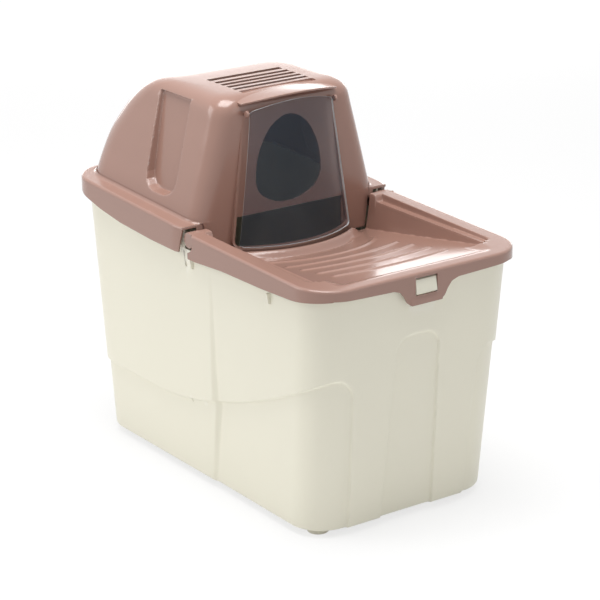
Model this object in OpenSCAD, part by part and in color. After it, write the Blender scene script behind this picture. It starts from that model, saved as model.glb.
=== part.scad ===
// Top entry litter box: open bin, hinged ramp lid in front, hood with a swing
// flap behind. Front faces -Y, width along X, +Z up, origin on the floor under
// the middle of the object. Millimetres.

/* [Overall] */
// Length over the front tab lip and the rear skirt
body_l = 576; // [572:1:580]
// Width over the rear lid skirt
body_w = 333; // [331:1:335]
// Wall thickness of the moulded shells
wall = 3; // [2.6:0.1:3.2]

/* [Bin] */
// Width of the bin at its floor
floor_w = 297; // [292:1:300]
// Length of the bin at its floor
floor_l = 502; // [496:1:508]
// Height of the four feet
foot_h = 8; // [6:1:10]
// Depth of the stepped lower panels and arches
step_d = 3.5; // [2.5:0.5:4]
// Width of the vertical groove in each side
groove_w = 14; // [8:1:20]

/* [Front lid] */
// Height of the rim band at the front
front_z = 340; // [339:0.5:341]
// Number of arc ribs on the ramp
rib_n = 5; // [3:1:5]
// Height of the ribs over the ramp
rib_h = 2; // [1:0.5:2.5]
// Half width of the latch tab at its lower edge
tab_hw = 24; // [22:1:26]

/* [Hood] */
// Length of each roof slot
slot_l = 116; // [100:2:124]
// Width of each middle roof slot
slot_w = 5.5; // [4:0.5:7]
// Depth of the side grips at their lower end
grip_d = 10; // [7:1:12]

/* [Flap] */
// Radius of the bowed flap
flap_r = 150; // [146:1:156]
// Thickness of the flap
flap_t = 2.5; // [2:0.1:3]
// Radius of the flap pivot pins
flap_pin_r = 2.5; // [2:0.1:3]

/* [Hinge and fits] */
// Radius of the lid hinge pins
pin_r = 4; // [3:0.25:4.5]
// Radial clearance of every pin in its bore
pin_gap = 0.05; // [0.03:0.01:0.08]
// Gap between a seated lid and the bin rim
seat_gap = 0.3; // [0.2:0.05:0.4]

/* [Hidden] */
slab = 0.5;
corner_fn = 32;
axis_y = -1;
axis_z = 336;
half_l = body_l / 2;
lip_out = 2;
front_y = -(half_l - lip_out);
front_hw = body_w / 2 - 2.5;
rear_hw = body_w / 2;
skirt_t = 2.5;
lid_corner_r = 50;
knuckle_r = 10.5;
skirt_in = front_hw - skirt_t;
knuckle_x0 = 142.3;
ear_x0 = 131.5;
ear_x1 = 141.9;
bore_x1 = 149;
rise_f = (axis_z + knuckle_r - front_z) / (axis_y - front_y);
rear_y0 = 7;
rear_z0 = 351.5;
rear_z1 = 363;
rise_r = (rear_z1 - rear_z0) / (half_l - rear_y0);

rim_z = 340;
rim_hw = 156.5;
rim_hl = half_l - 7;
draft_w = (rim_hw - floor_w / 2) / (rim_z - foot_h);
draft_l = (rim_hl - floor_l / 2) / (rim_z - foot_h);
bin_r = 50;
foot_in = 34;
foot_r = 14;

ledge_x0 = 130;
ledge_x1 = 142;
ledge_z = 337.5;
wall_run = 0.33;
ramp_low = 298.1;
ramp_rise = 0.154;
ramp_y1 = front_y + 18;
trough_y = front_y + 50;

flap_z0 = 315;
flap_z1 = 491;
flap_arch = 10;
flap_hb = 89;
flap_ht = 67;
flap_lean = 7;
flap_front = -41;
flap_cy = flap_front + flap_r / cos(flap_lean);
pivot_y = -4;
pivot_z = 488;
cheek_gap = 0.8;
cheek_t = 3.5;
hood_y0 = 3;
lip_z = 302;
groove_d = 1.5;

latch_z0 = 297.5;
latch_z1 = 333;
latch_hw = 17;
wedge_hw = 16;
window_hw = 17;
window_z0 = 311;
window_z1 = 334;

rose = [0.70, 0.56, 0.51];
ivory = [0.93, 0.91, 0.84];
smoke = [0.2, 0.21, 0.24, 0.75];
dark = [0.09, 0.09, 0.1];

function band_z(y) = front_z + (y - front_y) * rise_f;
function flange_z(y) = rear_z0 + (y - rear_y0) * rise_r;
function ramp_z(y) = ramp_low - ramp_rise * y;
function bin_hw(z) = floor_w / 2 + (z - foot_h) * draft_w;
function bin_hl(z) = floor_l / 2 + (z - foot_h) * draft_l;
function step_z(y) = y > 88 ? 104 : 104 + 0.0066 * pow(88 - y, 1.66);
function hood_hw(z) = rear_hw - 21.5 - 0.269 * (z - 353);

// each row: height, half width, front y, rear y
hood_rows = [
    [346, hood_hw(346), hood_y0, half_l - 5],
    [386, hood_hw(386), hood_y0, half_l - 7],
    [407, hood_hw(407), hood_y0, half_l - 11],
    [428, hood_hw(428), hood_y0, half_l - 20],
    [464, hood_hw(464), hood_y0, half_l - 45],
    [484, hood_hw(484), hood_y0, half_l - 67],
    [498, hood_hw(498) - 2.5, hood_y0 + 3.5, half_l - 90],
    [506, hood_hw(506) - 10, hood_y0 + 13, half_l - 120],
    [510, hood_hw(510) - 25, hood_y0 + 27, hood_y0 + 57]
];

// half width of the entrance at each height
egg_rows = [
    [359.5, 8], [362, 20], [367, 32], [374, 43], [382, 49], [392, 52], [403, 52],
    [416, 50.5], [428, 48], [440, 43.5], [453, 36.5], [463, 29], [470, 20], [474.5, 11],
    [476.5, 4]
];

// distance from the front edge and radius of each ramp rib, back to front
ribs = [[181, 119], [153, 221], [123, 259], [94, 380], [63, 400]];

// roof slots, front to back: centre y and width
roof_slots = [
    [27, 9], [42, slot_w], [56, slot_w], [70, slot_w], [84, slot_w], [100, 9]
];

// (y, z) outline swept from x0 to x1
module along_x(x0, x1) {
    translate([x0, 0, 0]) rotate([90, 0, 90]) linear_extrude(x1 - x0) children();
}

// (x, z) outline swept from y0 to y1
module along_y(y0, y1) {
    translate([0, y1, 0]) rotate([90, 0, 0]) linear_extrude(y1 - y0) children();
}

module both_sides() {
    children();
    mirror([1, 0, 0]) children();
}

module rounded(w, l, r) {
    square([w - 2 * r, l], center = true);
    square([w, l - 2 * r], center = true);
    for (x = [-1, 1], y = [-1, 1])
        translate([x * (w / 2 - r), y * (l / 2 - r)]) circle(r, $fn = 64);
}

module disc_row(z, hw, y0, y1, r0, r1) {
    for (x = [-1, 1]) {
        translate([x * (hw - r0), y0 + r0, z - slab]) cylinder(h = slab, r = r0, $fn = corner_fn);
        translate([x * (hw - r1), y1 - r1, z - slab]) cylinder(h = slab, r = r1, $fn = corner_fn);
    }
}

// drafted bin block, every side moved in by inset
module bin_block(inset, z0, soft) {
    r = bin_r - inset;
    hull() {
        disc_row(z0 + slab, bin_hw(z0) - inset - soft, -bin_hl(z0) + inset + soft,
            bin_hl(z0) - inset - soft, r, r);
        disc_row(z0 + soft, bin_hw(z0 + soft) - inset, -bin_hl(z0 + soft) + inset,
            bin_hl(z0 + soft) - inset, r, r);
        disc_row(370, bin_hw(370) - inset, -bin_hl(370) + inset, bin_hl(370) - inset, r, r);
    }
}

// space of the stepped panels, edges moved out by grow
module step_space(grow) {
    leg_b = 91.5 - grow;
    leg_t = 97 - grow;
    both_sides() along_x(100, 190) polygon(concat(
        [[300, 0], [-300, 0], [-300, 222 + grow], [-266, 222 + grow]],
        [for (y = [-262:14:88]) [y, min(222, step_z(y)) + grow]],
        [[300, 104 + grow]]));
    translate([-120, 200, 0]) cube([240, 100, 104 + grow]);
    both_sides() along_y(-300, -200) polygon([
        [leg_b, 0], [leg_t, 186], [leg_t + 2, 194 + grow], [leg_t + 7, 205 + grow],
        [leg_t + 15, 215 + grow], [leg_t + 25, 220 + grow], [leg_t + 40, 222 + grow],
        [180, 222 + grow], [180, 0]]);
    along_y(-300, -200) polygon([
        [41 + grow, 0], [33 + grow, 236], [28 + grow, 246 + grow], [20 + grow, 252 + grow],
        [10, 255.5 + grow], [-10, 255.5 + grow], [-20 - grow, 252 + grow],
        [-28 - grow, 246 + grow], [-33 - grow, 236], [-41 - grow, 0]]);
}

module bin() color(ivory) {
    notch_y0 = axis_y - knuckle_r - 5;
    notch_y1 = axis_y + knuckle_r + 5;
    difference() {
        intersection() {
            bin_block(0, foot_h, 5);
            along_x(-180, 180) polygon([
                [-300, 0], [300, 0], [300, flange_z(300) - wall - seat_gap],
                [notch_y1, flange_z(notch_y1) - wall - seat_gap], [notch_y1, 321],
                [notch_y0, 321], [notch_y0, band_z(notch_y0) - wall - seat_gap],
                [-300, band_z(-300) - wall - seat_gap]]);
        }
        difference() {
            bin_block(wall, foot_h + wall, 5);
            difference() {
                step_space(4);
                bin_block(wall + step_d, foot_h + wall, 5);
            }
        }
        difference() {
            step_space(0);
            bin_block(step_d, 0, 5);
        }
        difference() {
            both_sides() translate([120, -37 - groove_w / 2, 122]) cube([60, groove_w, 184]);
            bin_block(groove_d, 0, 5);
        }
        difference() {
            both_sides() translate([120, -35 - groove_w / 2, 20]) cube([60, groove_w, 84]);
            bin_block(step_d + groove_d, 0, 5);
        }
        translate([-latch_hw - 1.5, -290, latch_z0 - 1.5])
            cube([2 * (latch_hw + 1.5), 30, latch_z1 - latch_z0 + 1.5]);
    }
    both_sides() for (y = [-174, -3, 188])
        along_y(y - 1.5, y + 1.5)
            polygon([[bin_hw(298) - 1, 298], [bin_hw(312) + 3.5, 310],
                [bin_hw(312) + 3.5, 319], [bin_hw(320) - 1, 319]]);
}

module foot(x, y) color(ivory) {
    translate([x, y, 0]) cylinder(h = foot_h, r = foot_r, $fn = 64);
}

module foot_fl() foot(-floor_w / 2 + foot_in, -floor_l / 2 + foot_in);
module foot_fr() foot(floor_w / 2 - foot_in, -floor_l / 2 + foot_in);
module foot_rl() foot(-floor_w / 2 + foot_in, floor_l / 2 - foot_in);
module foot_rr() foot(floor_w / 2 - foot_in, floor_l / 2 - foot_in);

// springy tongue in the front wall with the wedge that fills the tab window
module latch() color(ivory) {
    along_x(-latch_hw, latch_hw) polygon([
        [-bin_hl(latch_z0) + wall, latch_z0], [-bin_hl(latch_z0), latch_z0],
        [-bin_hl(latch_z1), latch_z1], [-bin_hl(latch_z1) + wall, latch_z1]]);
    along_x(-wedge_hw, wedge_hw) polygon([
        [-bin_hl(window_z0) + 1, window_z0 + 0.5], [front_y - 1.4, window_z0 + 2.1],
        [front_y + 1.5, window_z1 - 3], [-bin_hl(latch_z1) + 1, window_z1 - 1.4]]);
}

module lid_plan(hw, y0, r) {
    rounded(2 * hw, -2 * y0, r);
}

module ramp_slab(lo, hi) {
    along_x(-ledge_x0, ledge_x0) polygon([
        [ramp_y1, ramp_z(ramp_y1) + lo], [0, ramp_z(0) + lo],
        [0, ramp_z(0) + hi], [ramp_y1, ramp_z(ramp_y1) + hi]]);
}

module front_lid() color(rose) {
    low_z = 298;
    foot_x = ledge_x0 - (ledge_z - low_z) * wall_run;
    difference() {
        union() {
            // rim band
            intersection() {
                along_x(-180, 180) polygon([
                    [-300, band_z(-300) - wall], [axis_y, band_z(axis_y) - wall],
                    [axis_y, band_z(axis_y)], [-300, band_z(-300)]]);
                translate([0, 0, 300]) linear_extrude(60)
                    lid_plan(front_hw, front_y, lid_corner_r);
            }
            // skirt
            intersection() {
                translate([0, 0, 300]) linear_extrude(60) difference() {
                    lid_plan(front_hw, front_y, lid_corner_r);
                    lid_plan(skirt_in, front_y + skirt_t, lid_corner_r - skirt_t);
                }
                along_x(-180, 180) polygon([
                    [-300, 324], [-240, 321], [-167, 318.3], [-81, 316.5], [-22, 313],
                    [-4, 312.5], [-4, band_z(-4)], [-300, band_z(-300)]]);
            }
            // hinge knuckles and the cheeks that carry them
            both_sides() {
                translate([knuckle_x0, axis_y, axis_z]) rotate([0, 90, 0])
                    cylinder(h = skirt_in - knuckle_x0, r = knuckle_r, $fn = 64);
                along_x(skirt_in - 3, skirt_in + 0.5) polygon([
                    [-34, band_z(-34) - 1], [-34, 318], [-18, 318], [axis_y, 328],
                    [axis_y, band_z(axis_y) - 1]]);
            }
            // tab
            along_y(front_y, front_y + skirt_t) polygon([
                [-48, 326], [-40, 321], [-34, 313], [-29, 304], [-tab_hw, 300],
                [tab_hw, 300], [29, 304], [34, 313], [40, 321], [48, 326]]);
            translate([-tab_hw, -half_l, 300]) cube([2 * tab_hw, lip_out + 1, 3.5]);
        }
        // open middle of the band
        translate([0, 0, 290]) linear_extrude(70) {
            translate([0, (trough_y + 60) / 2]) rounded(2 * ledge_x1, 60 - trough_y, 8);
            translate([0, (ramp_y1 + 62) / 2]) square([2 * ledge_x0 - 6, 62 - ramp_y1], center = true);
        }
        // recess round each knuckle
        both_sides() {
            translate([skirt_in, axis_y, axis_z]) rotate([0, 90, 0])
                cylinder(h = 10, r = knuckle_r + 4.5, $fn = 64);
            translate([knuckle_x0 - 0.3, axis_y, axis_z]) rotate([0, 90, 0])
                cylinder(h = bore_x1 - knuckle_x0 + 0.3, r = pin_r + pin_gap, $fn = 64);
        }
        translate([-window_hw, front_y - 5, window_z0])
            cube([2 * window_hw, 9, window_z1 - window_z0]);
    }
    difference() {
        union() {
            // ledges and steep walls beside the ramp
            intersection() {
                both_sides() along_y(trough_y, axis_y - knuckle_r - 0.5) polygon([
                    [ledge_x1, 350], [ledge_x1 + 2.5, 350], [ledge_x1 + 2.5, ledge_z - 2.7],
                    [ledge_x0 + 3, ledge_z - 2.7], [foot_x + 3, low_z], [foot_x, low_z],
                    [ledge_x0, ledge_z], [ledge_x1, ledge_z]]);
                along_x(-180, 180) polygon([
                    [-300, ramp_z(-300) - wall], [0, ramp_z(0) - wall],
                    [0, band_z(0)], [-300, band_z(-300)]]);
            }
            both_sides() along_y(ramp_y1 + 12, trough_y + 2)
                polygon([[ledge_x0 - 4, 333], [ledge_x1 + 2.5, 333],
                    [ledge_x1 + 2.5, 338.5], [ledge_x0 - 4, 338.5]]);
            intersection() {
                union() {
                    ramp_slab(-wall, 0);
                    intersection() {
                        ramp_slab(-8, -wall + 1);
                        translate([0, 32, 280]) cylinder(h = 80, r = 103, $fn = 96);
                    }
                    for (i = [0:rib_n - 1]) intersection() {
                        ramp_slab(-1, rib_h);
                        translate([0, front_y + ribs[i][0] + ribs[i][1], 280]) difference() {
                            cylinder(h = 80, r = ribs[i][1] + 1.5, $fn = 160);
                            translate([0, 0, -1]) cylinder(h = 82, r = ribs[i][1] - 1.5, $fn = 160);
                        }
                        translate([-88, -300, 280]) cube([176, 300, 80]);
                    }
                }
                along_y(-300, 0) polygon([
                    [foot_x + 1 - 3, low_z - 9], [ledge_x0 + 2, ledge_z + 5],
                    [-ledge_x0 - 2, ledge_z + 5], [-foot_x - 1 + 3, low_z - 9]]);
            }
        }
        // room for the bowed flap and its frame
        translate([0, flap_cy, 280]) cylinder(h = 80, r = flap_r + 5.5, $fn = 160);
        // shallow bowl below the flap
        intersection() {
            ramp_slab(-4.5, 8);
            translate([0, 32, 280]) cylinder(h = 80, r = 100, $fn = 96);
        }
    }
}

module hood_block(inset, z0) {
    hull() for (i = [0:len(hood_rows) - 1]) {
        row = hood_rows[i];
        soft = (row[3] - row[2]) / 2;
        disc_row(i == 0 ? z0 : row[0] - inset, row[1] - inset, row[2] + inset,
            row[3] - inset, min(25, soft) - inset, min(50, soft) - inset);
    }
}

// side grip: outline grown by grow, floor moved in by back
module grip_space(grow, back) {
    intersection() {
        along_y(60, 140) polygon([
            [hood_hw(372) - grip_d - back, 366], [hood_hw(498) - 2.5 - back, 498],
            [hood_hw(498) + 30, 498], [hood_hw(366) + 30, 366]]);
        along_x(60, 170) polygon([
            [68 - grow, 500], [68 - grow, 392], [71 - grow, 382 - grow], [80, 374 - grow],
            [92, 371 - grow], [108, 371 - grow], [120, 374 - grow], [128 + grow, 382 - grow],
            [130 + grow, 392], [134 + grow, 500]]);
    }
}

// front outline of the flap grown by grow
module flap_outline(grow) {
    polygon(concat(
        [[-flap_hb - grow, flap_z0 + 5], [-flap_hb + 5, flap_z0 - grow],
         [flap_hb - 5, flap_z0 - grow], [flap_hb + grow, flap_z0 + 5],
         [flap_ht + grow, flap_z1 - 4 + grow]],
        [for (i = [-6:6]) let (x = -i * 10.3)
            [x * (1 + grow / flap_ht), flap_z1 + grow + flap_arch * (1 - pow(x / 62, 2))]],
        [[-flap_ht - grow, flap_z1 - 4 + grow]]));
}

module lean_cylinder(r) {
    translate([0, flap_cy, flap_z0]) rotate([-flap_lean, 0, 0])
        translate([0, 0, -60]) cylinder(h = 320, r = r, $fn = 192);
}

module visor() {
    intersection() {
        along_y(-60, 24) polygon(concat(
            [for (i = [-8:8]) [i * 9.5, 508.8 - 10 * pow(i / 8, 2)]],
            [for (i = [8:-1:-8]) [i * 9.5, 511.3 - 10 * pow(i / 8, 2)]]));
        lean_cylinder(flap_r + 2);
    }
}

module hood() color(rose) {
    difference() {
        union() {
            difference() {
                union() {
                    intersection() {
                        hood_block(0, 345);
                        along_x(-180, 180) polygon([
                            [0, flange_z(0) - wall], [300, flange_z(300) - wall],
                            [300, 530], [0, 530]]);
                    }
                    intersection() {
                        translate([0, 0, 330]) linear_extrude(60)
                            rounded(2 * rear_hw, 2 * half_l, 52);
                        along_x(-180, 180) polygon([
                            [rear_y0, rear_z0 - wall], [300, flange_z(300) - wall],
                            [300, flange_z(300)], [rear_y0, rear_z0]]);
                    }
                    // apron below the hood front
                    along_y(hood_y0, hood_y0 + wall) polygon([
                        [-127, 353], [-127, 322], [-124, 314], [-117, 309], [117, 309],
                        [124, 314], [127, 322], [127, 353]]);
                    // lip over the lid hinge
                    both_sides() translate([120, rear_y0, axis_z + knuckle_r + 1])
                        cube([rear_hw - skirt_t - 120 + 1, 2.5, 3]);
                    both_sides() translate([120, rear_y0, axis_z + 1])
                        cube([ear_x1 - 120, 2.5, knuckle_r + 2]);
                }
                hood_block(wall, 340);
            }
            // skirt
            intersection() {
                translate([0, 0, 300]) linear_extrude(80) difference() {
                    rounded(2 * rear_hw, 2 * half_l, 52);
                    rounded(2 * (rear_hw - skirt_t), 2 * (half_l - skirt_t), 52 - skirt_t);
                }
                along_x(-180, 180) polygon([
                    [rear_y0 + 8, 317], [80, 318], [154, 322], [205, 329], [254, 338],
                    [300, 342], [300, flange_z(300)], [rear_y0, rear_z0]]);
            }
            intersection() {
                hood_block(0, 360);
                both_sides() grip_space(3, 3);
            }
            // frame round the flap
            intersection() {
                difference() {
                    along_y(-60, hood_y0 + 1) flap_outline(cheek_gap + cheek_t);
                    along_y(-61, hood_y0 + 2) flap_outline(cheek_gap);
                    translate([-60, -70, 480]) cube([120, 90, 40]);
                    translate([-100, -70, 499]) cube([200, 90, 40]);
                }
                lean_cylinder(flap_r);
            }
            visor();
            // lip below the frame that fills the gap to the ramp
            intersection() {
                along_y(-60, hood_y0 + 1) polygon([
                    [-flap_hb, lip_z], [flap_hb, lip_z], [flap_hb, 312], [-flap_hb, 312]]);
                difference() {
                    lean_cylinder(flap_r);
                    lean_cylinder(flap_r - wall);
                }
            }
            // bosses of the flap pivot
            both_sides() translate([flap_ht + cheek_gap, pivot_y, pivot_z])
                rotate([0, 90, 0]) cylinder(h = cheek_t, r = flap_pin_r + 1.7, $fn = 48);
            // ears and hinge pins
            both_sides() {
                translate([ear_x0, axis_y, axis_z]) rotate([0, 90, 0])
                    cylinder(h = ear_x1 - ear_x0, r = knuckle_r - 1.5, $fn = 64);
                translate([ear_x0, axis_y, axis_z - 6])
                    cube([ear_x1 - ear_x0, 18, rear_z0 - axis_z + 5]);
                translate([ear_x1 - 1, axis_y, axis_z]) rotate([0, 90, 0])
                    cylinder(h = bore_x1 - ear_x1 - 0.5 + 1, r = pin_r, $fn = 64);
            }
            // rails of the filter tray
            both_sides() {
                translate([69, 26, 490]) cube([2.5, 92, 17.5]);
                translate([63.5, 26, 490]) cube([6, 92, 2.5]);
            }
        }
        both_sides() grip_space(0, 0);
        for (s = roof_slots)
            translate([-slot_l / 2, s[0] - s[1] / 2, 504]) cube([slot_l, s[1], 12]);
        along_y(-2, 12) polygon(concat(
            [for (r = egg_rows) [r[1], r[0]]],
            [for (i = [len(egg_rows) - 1:-1:0]) [-egg_rows[i][1], egg_rows[i][0]]]));
        both_sides() translate([flap_ht - 4, pivot_y, pivot_z]) rotate([0, 90, 0])
            cylinder(h = 14, r = flap_pin_r + pin_gap, $fn = 48);
    }
}

module flap() color(smoke) {
    intersection() {
        difference() {
            lean_cylinder(flap_r);
            lean_cylinder(flap_r - flap_t);
        }
        along_y(-60, 40) flap_outline(0);
    }
    both_sides() translate([flap_ht - 3.5, pivot_y, pivot_z]) rotate([0, 90, 0])
        cylinder(h = 3.5 + cheek_gap + cheek_t - 0.8, r = flap_pin_r, $fn = 48);
}

module filter_tray() color(dark) {
    difference() {
        translate([-68.6, 24, 492.8]) cube([137.2, 98, 7.5]);
        translate([-66.6, 26, 494.8]) cube([133.2, 94, 8]);
        for (x = [-62, -19.5, 23]) translate([x, 30, 490]) cube([39, 86, 8]);
    }
}

module filter() color(dark) {
    translate([-66, 26.6, 495.1]) cube([132, 92.8, 8]);
}

bin();
foot_fl();
foot_fr();
foot_rl();
foot_rr();
latch();
front_lid();
hood();
flap();
filter_tray();
filter();
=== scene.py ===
"""Looks of a top entry litter box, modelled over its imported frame.

Lengths in this file are in millimetres until a mesh is settled; y runs from the
front of the box (-) to its rear (+), z up from the floor.
"""

import math

import bmesh
import bpy
import numpy as np
from mathutils import Matrix, Vector


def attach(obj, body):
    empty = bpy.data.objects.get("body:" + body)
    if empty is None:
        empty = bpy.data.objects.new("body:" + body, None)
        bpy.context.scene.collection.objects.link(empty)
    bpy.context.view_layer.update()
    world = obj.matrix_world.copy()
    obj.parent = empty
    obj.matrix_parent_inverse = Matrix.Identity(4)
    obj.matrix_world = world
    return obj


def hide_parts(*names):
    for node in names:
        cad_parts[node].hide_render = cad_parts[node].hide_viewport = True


bl_info = {
    "name": "Top Entry Litter Box",
    "version": (1, 0, 0),
    "blender": (4, 5, 0),
    "location": "3D View > Sidebar > Litter Box",
    "description": "Builds the looks of a top entry litter box over its packed frame",
    "category": "Add Mesh",
}

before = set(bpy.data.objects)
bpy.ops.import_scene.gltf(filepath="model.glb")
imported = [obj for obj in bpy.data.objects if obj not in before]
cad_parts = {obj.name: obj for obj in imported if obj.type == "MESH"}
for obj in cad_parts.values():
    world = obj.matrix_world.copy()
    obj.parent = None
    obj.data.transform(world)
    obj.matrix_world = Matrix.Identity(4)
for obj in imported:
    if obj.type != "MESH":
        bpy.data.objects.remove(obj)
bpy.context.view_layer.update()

MM = 0.001
MERGE = 2e-5  # metres; points closer than this are one

# rim and hinge
BAND_WALL = 3.0
BIN_GAP = 0.3
AXIS_Y, AXIS_Z = -1.0, 336.0
KNUCKLE_R = 10.5
HOUSING_R = KNUCKLE_R + 4.5

# the flap is a piece of a cylinder that leans back
LEAN_ANGLE = math.radians(7)
FLAP_R = 150.0
FLAP_CY = -41 + FLAP_R / math.cos(LEAN_ANGLE)
FLAP_LOW = 315.0
PIVOT_Y, PIVOT_Z = -4, 488


# ---------------------------------------------------------------- shape rules


def size(name):
    """A size from the panel, in millimetres."""
    return getattr(bpy.context.scene.litter_sizes, name) / MM


def ease(d, width=1.5):
    """0 well outside (d < 0), 1 well inside, rounded over width."""
    t = np.clip(d / width * 0.5 + 0.5, 0, 1)
    return t * t * (3 - 2 * t)


def soft_max(a, b, k):
    """The larger of two heights, rounded over k where they meet."""
    h = np.clip(0.5 + 0.5 * (a - b) / k, 0, 1)
    return b + (a - b) * h + k * h * (1 - h)


def curve(keys, t):
    """Smooth curve through the rows of keys at whole numbers of t."""
    keys = np.asarray(keys, float)
    last = len(keys) - 1
    i = np.clip(np.floor(t).astype(int), 0, last - 1)
    f = (np.clip(t, 0, last) - i)[:, None]
    p0, p1 = keys[np.maximum(i - 1, 0)], keys[i]
    p2, p3 = keys[i + 1], keys[np.minimum(i + 2, last)]
    m1, m2 = (p2 - p0) / 2, (p3 - p1) / 2
    return (
        p1 * (2 * f**3 - 3 * f**2 + 1)
        + m1 * (f**3 - 2 * f**2 + f)
        + p2 * (3 * f**2 - 2 * f**3)
        + m2 * (f**3 - f**2)
    )


def inside(px, py, corners):
    """Signed distance to a polygon, positive inside."""
    c = np.asarray(corners, float)
    best = np.full(px.shape, 1e9)
    odd = np.zeros(px.shape, bool)
    for (x0, y0), (x1, y1) in zip(c, np.roll(c, -1, axis=0)):
        dx, dy = x1 - x0, y1 - y0
        t = np.clip(((px - x0) * dx + (py - y0) * dy) / (dx * dx + dy * dy), 0, 1)
        best = np.minimum(best, np.hypot(px - x0 - t * dx, py - y0 - t * dy))
        if dy:
            hit = ((y0 > py) != (y1 > py)) & (px < dx * (py - y0) / dy + x0)
            odd ^= hit
    return np.where(odd, best, -best)


def outline(u, hw, yf, yr, rf, rr, cuts):
    """Rounded rectangle, counterclockwise from the middle of the rear side."""
    w, side = 1 - np.abs(1 - 2 * u), np.where(u < 0.5, -1.0, 1.0)
    edges = (0.0, *cuts, 1.0)
    t = [np.clip((w - a) / (b - a), 0, 1) for a, b in zip(edges, edges[1:])]
    a, b = t[1] * math.pi / 2, t[3] * math.pi / 2
    x = (hw - rr) * t[0] + rr * np.sin(a) - rf * (1 - np.cos(b)) - (hw - rf) * t[4]
    y = yr - rr * (1 - np.cos(a)) - (yr - rr - yf - rf) * t[2] - rf * np.sin(b)
    nx, ny = np.sin(a) * np.cos(b), np.cos(a) - np.sin(b)
    return side * x, y, side * nx, ny


def band_z(y):
    """Top of the front lid's rim band."""
    return 340 + (y + 286) * 6.5 / 285


def flange_z(y):
    """Top of the flange round the hood."""
    return 351.5 + (y - 7) * 11.5 / 281


# -------------------------------------------------------------- mesh helpers


def new_grid(nu, nv):
    """A sheet of nu by nv faces over u and v from 0 to 1."""
    bm = bmesh.new()
    bmesh.ops.create_grid(bm, x_segments=nu, y_segments=nv, size=0.5)
    bmesh.ops.translate(bm, verts=bm.verts, vec=(0.5, 0.5, 0))
    return bm


def coords(bm):
    return np.array([v.co[:] for v in bm.verts])


def refine(bm, place, wanted, rounds=4):
    """Splits edges until each is about as short as wanted(points) says."""
    for _ in range(rounds):
        bm.verts.index_update()
        at = place(coords(bm))
        edges = list(bm.edges)
        ends = np.array([[v.index for v in e.verts] for e in edges])
        a, b = at[ends[:, 0]], at[ends[:, 1]]
        long = np.linalg.norm(a - b, axis=1) > 1.35 * wanted((a + b) / 2)
        if not long.any():
            break
        chosen = [e for e, hit in zip(edges, long) if hit]
        bmesh.ops.subdivide_edges(bm, edges=chosen, cuts=1, use_grid_fill=True)


def settle(bm, place):
    """Moves each point of a sheet to its place on the piece."""
    for v, p in zip(bm.verts, place(coords(bm)) * MM):
        v.co = p


def slice_at(bm, point, normal, where=None):
    """Cuts new edges along a plane through the faces that where() picks."""
    faces = list(bm.faces)
    if where is not None:
        mid = np.array([f.calc_center_median()[:] for f in faces]) / MM
        faces = [f for f, hit in zip(faces, where(*mid.T)) if hit]
    geom = set(faces)
    for f in faces:
        geom.update(f.edges)
        geom.update(f.verts)
    bmesh.ops.bisect_plane(
        bm,
        geom=list(geom),
        dist=1e-6,
        plane_co=Vector(point) * MM,
        plane_no=normal,
    )


def drop(bm, where):
    """Deletes the faces whose middle where() picks."""
    faces = list(bm.faces)
    mid = np.array([f.calc_center_median()[:] for f in faces]) / MM
    gone = [f for f, hit in zip(faces, where(*mid.T)) if hit]
    bmesh.ops.delete(bm, geom=gone, context="FACES")


def snap(bm, where, move):
    """Moves open-edge points that where() picks to where move() puts them."""
    for v in bm.verts:
        if v.is_boundary:
            p = np.array(v.co[:]) / MM
            if where(*p):
                v.co = Vector(move(*p)) * MM


def to_polygon(px, py, corners):
    """Nearest point on the sides of a polygon."""
    best = None
    for (x0, y0), (x1, y1) in zip(corners, corners[1:] + corners[:1]):
        dx, dy = x1 - x0, y1 - y0
        t = min(max(((px - x0) * dx + (py - y0) * dy) / (dx * dx + dy * dy), 0), 1)
        q = (x0 + t * dx, y0 + t * dy)
        d = math.hypot(px - q[0], py - q[1])
        if best is None or d < best[0]:
            best = (d, q)
    return best[1]


def add_object(name, bm, material, body, replaces=(), wall=0.0, edge=0.5, angle=50):
    """Finishes a bmesh as a piece: normals, modifiers, material, body."""
    bmesh.ops.remove_doubles(bm, verts=bm.verts, dist=MERGE)
    bmesh.ops.dissolve_degenerate(bm, edges=bm.edges, dist=1e-6)
    if not wall:
        bmesh.ops.recalc_face_normals(bm, faces=bm.faces)
    for f in bm.faces:
        f.smooth = True
    mesh = bpy.data.meshes.new(name)
    bm.to_mesh(mesh)
    bm.free()
    obj = bpy.data.objects.new(name, mesh)
    bpy.context.scene.collection.objects.link(obj)
    if wall:
        solid = obj.modifiers.new("Wall", "SOLIDIFY")
        solid.thickness = wall * MM
        solid.offset = -1.0
        solid.use_even_offset = False
        solid.thickness_clamp = 0.0
    if edge:
        round_edges(obj, edge, angle)
    mesh.materials.append(material)
    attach(obj, body)
    if replaces:
        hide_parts(*replaces)
    return obj


def round_edges(obj, width, angle=50):
    """Rounds the edges that turn by more than the angle."""
    bevel = obj.modifiers.new("Edges", "BEVEL")
    bevel.width = width * MM
    bevel.segments = 2
    bevel.limit_method = "ANGLE"
    bevel.angle_limit = math.radians(angle)
    bevel.use_clamp_overlap = True
    weighted = obj.modifiers.new("Normals", "WEIGHTED_NORMAL")
    weighted.keep_sharp = True
    weighted.weight = 60


def add_box(bm, lo, hi):
    """A block between two corners."""
    made = bmesh.ops.create_cube(bm, size=1.0)["verts"]
    lo, hi = Vector(lo) * MM, Vector(hi) * MM
    bmesh.ops.scale(bm, verts=made, vec=hi - lo)
    bmesh.ops.translate(bm, verts=made, vec=(lo + hi) / 2)
    return made


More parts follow.
